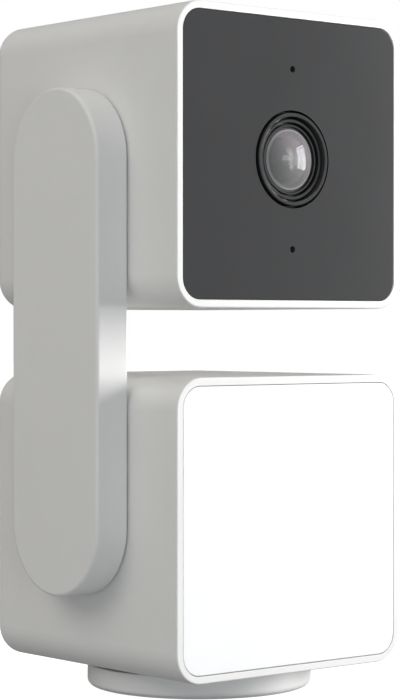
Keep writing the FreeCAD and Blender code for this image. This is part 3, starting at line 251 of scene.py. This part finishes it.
def opal_panel(name):
    """Opal light diffuser: milky, very even, with a satin skin."""
    f = Finish(name, Subsurface_Weight=0.25, Subsurface_Radius=(1.0, 0.95, 0.9), Subsurface_Scale=1.2 * MM,
               Specular_IOR_Level=0.4, IOR=1.49)
    skin = f.noise(0.18, 3.0, 0.6)
    depth = f.noise(18.0, 1.0)
    f.plug("Base Color", f.blend(f.vary(depth), (0.93, 0.935, 0.94), (0.955, 0.955, 0.955)))
    f.plug("Roughness", f.vary(skin, 0.36, 0.46))
    f.bump(skin, 0.002)
    return f.material


def dark_panel(name, shaded_recesses):
    """Dark smoked panel and lens trims: satin with a very fine grain, and painted shade: near black within
    the recesses.

    Each recess is a (from, to) span of radius in mm round the lens axis."""
    f = Finish(name, Specular_IOR_Level=0.5, IOR=1.5)
    grain = f.noise(0.12, 3.0, 0.6)
    slow = f.noise(22.0, 2.0)
    r = f.radius(LENS_AXIS, XZ)
    soft = 0.02 * MM
    base = (0.051, 0.0515, 0.053)
    tint = f.blend(f.vary(slow), shade(base, 0.96), shade(base, 1.04))
    gloss = f.vary(grain, 0.09, 0.13)
    for low, high in shaded_recesses:
        past_low = f.spread(r, low * MM - soft, low * MM, 0, 1)
        short_of_high = f.spread(r, high * MM, high * MM + soft, 1, 0)
        painted_shade = f.math("MULTIPLY", past_low, short_of_high)
        # Painted shade: within the recess the colour turns near black, where shade falls.
        tint = f.blend(painted_shade, tint, (0.004, 0.004, 0.004))
        gloss = f.math("ADD", gloss, f.math("MULTIPLY", painted_shade, 0.6))
    f.plug("Base Color", tint)
    f.plug("Roughness", gloss)
    f.bump(grain, 0.0002)
    return f.material


def front_glass(name):
    """Coated front lens: part see-through and milky, with painted light: lighter and warmer upwards, and a
    painted bright reflection round its edge.
    """
    f = Finish(name, IOR=1.52, Roughness=0.07, Specular_IOR_Level=0.22, Specular_Tint=(0.86, 0.93, 1.0))
    edge = (DOME[1].x - DOME[0].x) / 2
    share = f.math("DIVIDE", f.radius(LENS_AXIS, XZ), edge)
    x, _, z = f.axes(LENS_AXIS)
    # Painted light: the colour gets lighter upwards and towards +X, as the lamps' reflection falls there.
    painted_light_up = f.math("DIVIDE", f.math("ADD", z, f.math("MULTIPLY", x, 0.7)), edge)
    smear = f.noise(2.6, 3.0)
    light_and_haze = f.math("ADD", painted_light_up, f.math("MULTIPLY", smear, 0.5))
    body = f.blend(f.spread(light_and_haze, -0.4, 1.3, 0, 1, "SMOOTHSTEP"), (0.36, 0.36, 0.35), (0.46, 0.42, 0.45))
    # Painted reflection: a bright band round the lens edge, made less see-through so that it shows.
    painted_edge_glint = f.spread(share, 0.9, 1.0, 0, 1, "SMOOTHSTEP")
    f.plug("Base Color", f.blend(painted_edge_glint, body, (0.6, 0.6, 0.6)))
    f.plug("Alpha", f.math("ADD", f.math("MULTIPLY", painted_edge_glint, 0.25), f.vary(smear, 0.4, 0.46)))
    f.bump(smear, 0.0003)
    return f.material


def element_glass(name):
    """Second lens element: a dark coated dome with a painted reflection in its middle: a disc, near white
    above and dark below, in a near-black ring.
    """
    f = Finish(name, IOR=1.6, Roughness=0.18, Coat_Weight=0.1, Coat_Roughness=0.05)
    r = f.radius(LENS_AXIS, XZ)
    _, _, z = f.axes(LENS_AXIS)
    haze = f.noise(1.8, 2.0)
    coat = f.blend(f.vary(haze), (0.06, 0.056, 0.075), (0.08, 0.08, 0.085))
    # Painted reflection: the middle disc is near white in its upper half and dark in its lower half.
    upper = f.spread(z, -0.3 * MM, 0.1 * MM, 0, 1, "SMOOTHSTEP")
    disc = f.blend(upper, (0.1, 0.1, 0.095), (0.98, 0.98, 0.96))
    around = f.blend(f.spread(r, 1.2 * MM, 1.3 * MM, 1, 0), coat, (0.012, 0.012, 0.012))
    f.plug("Base Color", f.blend(f.spread(r, 0.92 * MM, 1.0 * MM, 1, 0), around, disc))
    f.bump(haze, 0.001)
    return f.material


def clear_polymer(name, low, high, through):
    """Moulded see-through polymer with a faint flow pattern."""
    f = Finish(name, IOR=1.49, Transmission_Weight=through)
    flow = f.noise(2.0, 2.0)
    f.plug("Base Color", f.blend(f.vary(flow), low, high))
    f.plug("Roughness", f.vary(flow, 0.05, 0.12))
    f.bump(flow, 0.001)
    return f.material


def circuit_board(name):
    """Green solder mask over copper tracks and vias."""
    f = Finish(name, Specular_IOR_Level=0.55, Coat_Weight=0.3, Coat_Roughness=0.15)
    weave = f.noise(0.25, 2.0)
    grid = f.node("ShaderNodeTexBrick")
    grid.inputs["Scale"].default_value = 1.0 / (9.0 * MM)
    grid.inputs["Mortar Size"].default_value = 0.03
    grid.inputs["Row Height"].default_value = 0.14
    f.link(f.place(turn=(math.pi / 2, 0, 0)), grid.inputs["Vector"])
    tracks = grid.outputs["Fac"]
    vias = f.spread(f.cells(2.3), 0.1, 0.13, 1, 0)
    mask = f.blend(f.vary(weave), (0.012, 0.085, 0.04), (0.016, 0.105, 0.05))
    with_tracks = f.blend(tracks, mask, (0.03, 0.19, 0.075))
    f.plug("Base Color", f.blend(vias, with_tracks, (0.62, 0.5, 0.24)))
    f.plug("Roughness", f.vary(weave, 0.28, 0.42))
    f.bump(tracks, 0.03)
    f.bump(weave, 0.004)
    return f.material


def led_phosphor(name):
    """Yellow phosphor over each light chip."""
    f = Finish(name, Subsurface_Weight=0.3, Subsurface_Scale=0.3 * MM)
    grit = f.noise(0.16, 3.0, 0.7)
    f.plug("Base Color", f.blend(f.vary(grit), (0.78, 0.55, 0.08), (0.88, 0.68, 0.16)))
    f.plug("Roughness", f.vary(grit, 0.4, 0.6))
    f.bump(grit, 0.01)
    return f.material


def paper_cone(name):
    """Pressed speaker cone with fine rings and fibres."""
    f = Finish(name, Specular_IOR_Level=0.3, Sheen_Weight=0.15)
    ring = f.rings(SPEAKER, XZ, 0.55)
    fibre = f.noise(0.25, 5.0, 0.75)
    f.plug("Base Color", f.blend(f.spread(fibre, 0.3, 0.8, 0, 1), (0.02, 0.02, 0.021), (0.05, 0.05, 0.05)))
    f.plug("Roughness", f.vary(fibre, 0.6, 0.85))
    f.bump(ring, 0.04)
    f.bump(fibre, 0.02)
    return f.material


WHITE = (0.84, 0.835, 0.82)
# Recesses of the panel, the ring and the hood, painted near black as shade: spans of radius in mm round the
# lens axis.
FACE_SHADED_RECESSES = [(8.0, 8.87)]
RING_SHADED_RECESSES = [(8.32, 9.0)]
HOOD_SHADED_RECESSES = [(7.24, 7.7), (6.31, 6.71), (0.0, 5.9)]
FINISHES = {
    "white_shell": moulded("white_shell_moulded", WHITE, 0.33, grain=0.2, depth=0.0045, tone=0.012),
    "opal_diffuser": opal_panel("opal_diffuser_satin"),
    "black_face": dark_panel("black_face_satin", FACE_SHADED_RECESSES),
    "lens_ring": dark_panel("lens_ring_satin", RING_SHADED_RECESSES),
    "lens_black": dark_panel("lens_black_satin", HOOD_SHADED_RECESSES),
    "lens_glass": element_glass("lens_glass_element"),
    "pipe_clear": clear_polymer("pipe_clear_smoked", (0.012, 0.012, 0.014), (0.02, 0.02, 0.022), 0.3),
    "led_clear": clear_polymer("led_clear_polymer", (0.86, 0.88, 0.9), (0.95, 0.96, 0.97), 0.85),
    "rubber_grey": rubber("rubber_grey_soft", (0.72, 0.72, 0.715), 0.65),
    "rubber_black": rubber("rubber_black_soft", (0.02, 0.02, 0.02)),
    "steel": stamped("steel_stamped", (0.62, 0.62, 0.63), 0.3),
    "screw_steel": stamped("screw_steel_rolled", (0.5, 0.5, 0.51), 0.26, fine=0.08),
    "aluminium": stamped("aluminium_extruded", (0.76, 0.77, 0.78), 0.36, stretch=(1, 12, 12)),
    "brass": turned_metal("brass_turned", (0.78, 0.57, 0.27), 0.26, (0, 0, 0), XY),
    "gear_nylon": moulded("gear_nylon_moulded", (0.62, 0.6, 0.54), 0.45, grain=0.3, depth=0.006),
    "bush_acetal": moulded("bush_acetal_turned", (0.7, 0.7, 0.68), 0.32, grain=0.3, depth=0.003),
    "frame_plastic": moulded("frame_plastic_moulded", (0.03, 0.03, 0.032), 0.55, grain=0.35, depth=0.01,
                             tone=0.08),
    "chip_black": moulded("chip_black_epoxy", (0.018, 0.018, 0.02), 0.5, grain=0.15, depth=0.004, tone=0.1),
    "cone_black": paper_cone("cone_black_paper"),
    "reflector_white": moulded("reflector_white_moulded", (0.86, 0.86, 0.85), 0.35, grain=0.3, depth=0.003),
    "led_core_board": moulded("led_core_board_mask", (0.8, 0.8, 0.79), 0.38, grain=0.25, depth=0.004),
    "led_yellow": led_phosphor("led_yellow_phosphor"),
    "pcb": circuit_board("pcb_solder_mask"),
}


def dress_nodes():
    """Gives every CAD node the finish of its own material slot."""
    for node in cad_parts.values():
        for slot in node.material_slots:
            slot.material = FINISHES[slot.material.name.split(".")[0]]


# ===================== detail pieces ==============================================================
SHARP_ANGLE = math.radians(35)
BLOCK_FACES = ((0, 1, 3, 2), (4, 6, 7, 5), (0, 4, 5, 1), (2, 3, 7, 6), (0, 2, 6, 4), (1, 5, 7, 3))


def mesh_piece(name, body, slot, vertices, faces, smooth=True, finish=None):
    mesh = bpy.data.meshes.new(name)
    mesh.from_pydata([tuple(v) for v in vertices], [], faces)
    made = bpy.data.objects.new(name, mesh)
    bpy.context.scene.collection.objects.link(made)
    tidy = bmesh.new()
    tidy.from_mesh(mesh)
    bmesh.ops.recalc_face_normals(tidy, faces=tidy.faces)
    tidy.to_mesh(mesh)
    tidy.free()
    if smooth:
        mesh.shade_smooth()
        mesh.set_sharp_from_angle(angle=SHARP_ANGLE)
    else:
        mesh.shade_flat()
    mesh.materials.append(finish or FINISHES[slot])
    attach(made, body)
    return made


def revolve(profile, steps, twist=None):
    """Vertices and faces of (radius, height) points turned round Z.

    twist, where given, says the radius of a point from its index, radius, height and angle."""
    vertices, faces = [], []
    for i in range(steps):
        angle = 2 * math.pi * i / steps
        for k, (r, h) in enumerate(profile):
            if twist is not None:
                r = twist(k, r, h, angle)
            vertices.append(Vector((r * math.cos(angle), r * math.sin(angle), h)))
    count = len(profile)
    for i in range(steps):
        here, there = i * count, (i + 1) % steps * count
        faces += [(here + k, here + k + 1, there + k + 1, there + k) for k in range(count - 1)]
    return vertices, faces


def arc(radius, start, end, steps):
    """(radius, height) points from angle start to end off the axis, on a sphere about the origin."""
    angles = [start + (end - start) * k / steps for k in range(steps + 1)]
    return [(radius * math.sin(a), radius * math.cos(a)) for a in angles]


def tripod_thread():
    """Tripod insert with its cut thread, in place of the plain bore."""
    low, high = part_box("tripod_insert")
    outer, top = high.x, high.z
    bore, depth, pitch = 2.6 * MM, 0.5 * MM, 1.27 * MM
    lead_in, mouth = 0.45 * MM, 0.15 * MM
    threaded, floor, corner = 7.4 * MM, 8.0 * MM, 0.2 * MM
    axis = 0.02 * MM
    levels, runout, steps = 104, 5, 72
    root_width, flank = 1.6, 3.4
    wall = [(bore, low.z + lead_in + (threaded - lead_in) * k / levels) for k in range(levels + 1)]
    profile = [(outer, low.z), (bore + depth + mouth, low.z)] + wall
    profile += [(bore + depth, floor - corner), (bore, floor), (axis, floor)]
    first, last = 2, 2 + levels

    def cut(k, r, h, angle):
        if not first <= k <= last:
            return r
        phase = (h / pitch - angle / (2 * math.pi)) % 1.0
        groove = max(0.0, min(1.0, root_width - flank * abs(phase - 0.5)))
        fade = min(1.0, (k - first) / runout, (last - k) / runout)
        return r + depth * groove * fade

    vertices, faces = revolve(profile, steps, cut)
    skin = [(outer, low.z), (outer, top), (axis, top)]
    more, more_faces = revolve(skin, steps)
    shift = len(vertices)
    faces += [tuple(i + shift for i in f) for f in more_faces]
    piece = mesh_piece("tripod_thread", "base", "brass", vertices + more, faces)
    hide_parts("tripod_insert")


def front_lens():
    """Front lens in place of the CAD one: same dome and edge, but bevelled, thinner and finer in mesh."""
    low, high = DOME
    radius = (high.x - low.x) / 2
    thick, bevel, bevel_drop, axis = 0.7 * MM, 0.12 * MM, 0.02 * MM, 0.005 * MM
    rise = high.y - low.y - thick
    edge_top, edge_foot = -rise - bevel_drop, -rise - thick
    sphere = (radius ** 2 + rise ** 2) / (2 * rise)
    half = math.asin((radius - bevel) / sphere)
    profile = [(max(r, axis), h - sphere) for r, h in arc(sphere, 0, half, 20)]
    land, flatter, step = 1.3 * MM, 0.15 * MM, 0.25 * MM
    inner, depth = radius - land, rise - flatter
    crown = depth - rise - step
    bowl = (inner ** 2 + depth ** 2) / (2 * depth)
    profile += [(radius, edge_top), (radius, edge_foot), (inner, edge_foot)]
    profile += [(max(r, axis), crown + h - bowl) for r, h in arc(bowl, math.asin(inner / bowl), 0, 12)]
    vertices, faces = revolve(profile, 96)
    top = Vector((LENS_AXIS.x, low.y, LENS_AXIS.z))
    placed = [top + Vector((v.x, -v.z, v.y)) for v in vertices]
    coated = front_glass("lens_glass_coated")
    piece = mesh_piece("front_lens", "camera_head", "lens_glass", placed, faces, finish=coated)
    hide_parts("lens_dome")


def inlet_contacts():
    """Brass contact strips on both sides of the socket's tongue."""
    middle = centre_of("power_inlet")
    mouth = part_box("power_inlet")[1].y
    tip, length = 1.15 * MM, 4.25 * MM
    front, back = mouth - tip, mouth - tip - length
    count, pitch, half_width = 12, 0.5 * MM, 0.125 * MM
    tongue, strip_top = 0.34 * MM, 0.385 * MM
    vertices, faces = [], []
    for side in (-1, 1):
        levels = (middle.z + side * tongue, middle.z + side * strip_top)
        for i in range(count):
            x = middle.x + (i - (count - 1) / 2) * pitch
            n = len(vertices)
            sides = (x - half_width, x + half_width)
            vertices += [(across, y, z) for z in levels for y in (back, front) for across in sides]
            faces += [tuple(n + j for j in face) for face in BLOCK_FACES]
    mesh_piece("inlet_contacts", "lower_body", "brass", vertices, faces, smooth=False)


def microphone_mesh():
    """Dust screen at the bottom of the upper pinhole: a fine woven disc."""
    axis_z = centre_of("microphone").z
    radius, pitch, wire, gap = 0.585 * MM, 0.13 * MM, 0.03 * MM, 0.25 * MM
    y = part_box("face_plate")[1].y - gap
    steps = 8
    vertices, faces = [], []

    def strip(start, end, lift):
        along = (end - start).normalized()
        side = Vector((along.z, 0, -along.x)) * wire
        n = len(vertices)
        for k in range(steps + 1):
            weave = lift * wire / 2 if k % 2 else -lift * wire / 2
            p = start.lerp(end, k / steps) + Vector((0, weave, 0))
            vertices.extend([p + side, p + Vector((0, -wire, 0)), p - side])
        for k in range(steps):
            a = n + 3 * k
            faces.extend([(a, a + 1, a + 4, a + 3), (a + 1, a + 2, a + 5, a + 4)])

    count = int(radius / pitch)
    for i in range(-count, count + 1):
        off = i * pitch
        half = math.sqrt(max(radius ** 2 - off ** 2, 0))
        strip(Vector((off, y, axis_z - half)), Vector((off, y, axis_z + half)), 1)
        strip(Vector((-half, y, axis_z + off)), Vector((half, y, axis_z + off)), -1)
    mesh_piece("microphone_mesh", "camera_head", "steel", vertices, faces, smooth=False)


# ===================== camera, light, floor =======================================================
CAMERA_AT = Vector((-0.2829, -0.3389, 0.0675))
CAMERA_YAW = math.radians(39.87)
CAMERA_PITCH = math.radians(0.6)
LENS_MM = 120.28
NEAREST, FARTHEST = 0.01, 20
SKY_HEIGHTS, SKY_STRENGTHS = (-0.6, 0.1), (0.3, 0.374)
FLOOR_GLOW = 0.8


def add_camera():
    data = bpy.data.cameras.new("camera")
    data.lens = LENS_MM
    data.clip_start, data.clip_end = NEAREST, FARTHEST
    camera = bpy.data.objects.new("camera", data)
    bpy.context.scene.collection.objects.link(camera)
    level = math.cos(CAMERA_PITCH)
    ahead = Vector((math.sin(CAMERA_YAW) * level, math.cos(CAMERA_YAW) * level, -math.sin(CAMERA_PITCH)))
    camera.location = CAMERA_AT
    camera.rotation_mode = "QUATERNION"
    camera.rotation_quaternion = ahead.to_track_quat("-Z", "Y")
    bpy.context.scene.camera = camera


def softbox(name, at, target, width, height, power, colour):
    data = bpy.data.lights.new(name, "AREA")
    data.shape = "RECTANGLE"
    data.size, data.size_y = width, height
    data.energy = power
    data.color = colour
    lamp = bpy.data.objects.new(name, data)
    bpy.context.scene.collection.objects.link(lamp)
    lamp.location = at
    lamp.rotation_mode = "QUATERNION"
    lamp.rotation_quaternion = (Vector(target) - Vector(at)).to_track_quat("-Z", "Y")


def add_lights():
    middle = (0, 0, 0.062)
    softbox("key", (0.874, -0.465, 0.20), middle, 0.46, 0.5, 16.8, (1.0, 0.995, 0.985))
    softbox("left_fill", (-0.82, 0.0, 0.64), middle, 0.6, 0.6, 2.4, (1.0, 0.955, 0.86))
    softbox("low_fill", (-0.45, -0.89, 0.04), (0, 0, 0.03), 0.5, 0.08, 1.35, (0.84, 0.92, 1.0))
    softbox("front_fill", (-0.664, -0.664, 0.404), middle, 0.6, 0.6, 0.5, (0.75, 0.86, 1.0))
    softbox("top", (0.05, -0.05, 1.16), middle, 1.0, 1.0, 2.2, (1.0, 1.0, 1.0))


def add_world():
    """Soft light from all round, dimmer from below, on a background that the camera sees as white."""
    world = bpy.data.worlds.new("studio")
    bpy.context.scene.world = world
    world.use_nodes = True
    tree = world.node_tree
    tree.nodes.clear()
    output = tree.nodes.new("ShaderNodeOutputWorld")
    mix = tree.nodes.new("ShaderNodeMixShader")
    rays = tree.nodes.new("ShaderNodeLightPath")
    seen = tree.nodes.new("ShaderNodeBackground")
    seen.inputs["Color"].default_value = (1, 1, 1, 1)
    seen.inputs["Strength"].default_value = 1.0
    lit = tree.nodes.new("ShaderNodeBackground")
    sky = tree.nodes.new("ShaderNodeTexCoord")
    parts = tree.nodes.new("ShaderNodeSeparateXYZ")
    dim = tree.nodes.new("ShaderNodeMapRange")
    for socket, value in zip(RANGE_SOCKETS, (*SKY_HEIGHTS, *SKY_STRENGTHS)):
        dim.inputs[socket].default_value = value
    tree.links.new(sky.outputs["Generated"], parts.inputs[0])
    tree.links.new(parts.outputs["Z"], dim.inputs["Value"])
    tree.links.new(dim.outputs["Result"], lit.inputs["Strength"])
    tree.links.new(rays.outputs["Is Camera Ray"], mix.inputs["Fac"])
    tree.links.new(lit.outputs[0], mix.inputs[1])
    tree.links.new(seen.outputs[0], mix.inputs[2])
    tree.links.new(mix.outputs[0], output.inputs["Surface"])


def add_floor():
    """Plain pale floor, which can be looked through from below."""
    bpy.ops.mesh.primitive_plane_add(size=6.0, location=(0, 0, 0))
    floor = bpy.context.active_object
    floor.name = "floor"
    f = Finish("floor_paper", Roughness=0.9, Specular_IOR_Level=0.1)
    grain = f.noise(0.8, 2.0)
    f.plug("Base Color", f.blend(grain, (0.9, 0.9, 0.9), (0.92, 0.92, 0.92)))
    f.set("Emission Color", (1, 1, 1))
    f.set("Emission Strength", FLOOR_GLOW)
    clear = f.node("ShaderNodeBsdfTransparent")
    side = f.node("ShaderNodeNewGeometry")
    mix = f.node("ShaderNodeMixShader")
    f.link(side.outputs["Backfacing"], mix.inputs["Fac"])
    f.link(f.surface.outputs["BSDF"], mix.inputs[1])
    f.link(clear.outputs[0], mix.inputs[2])
    f.link(mix.outputs[0], f.output.inputs["Surface"])
    floor.data.materials.append(f.material)
    floor.visible_diffuse = False
    floor.visible_glossy = False


# ===================== the scene ==================================================================
dress_nodes()
tripod_thread()
front_lens()
inlet_contacts()
microphone_mesh()
add_camera()
add_lights()
add_world()
add_floor()
bpy.context.scene.view_settings.view_transform = "Standard"
bpy.context.scene.view_settings.look = "None"
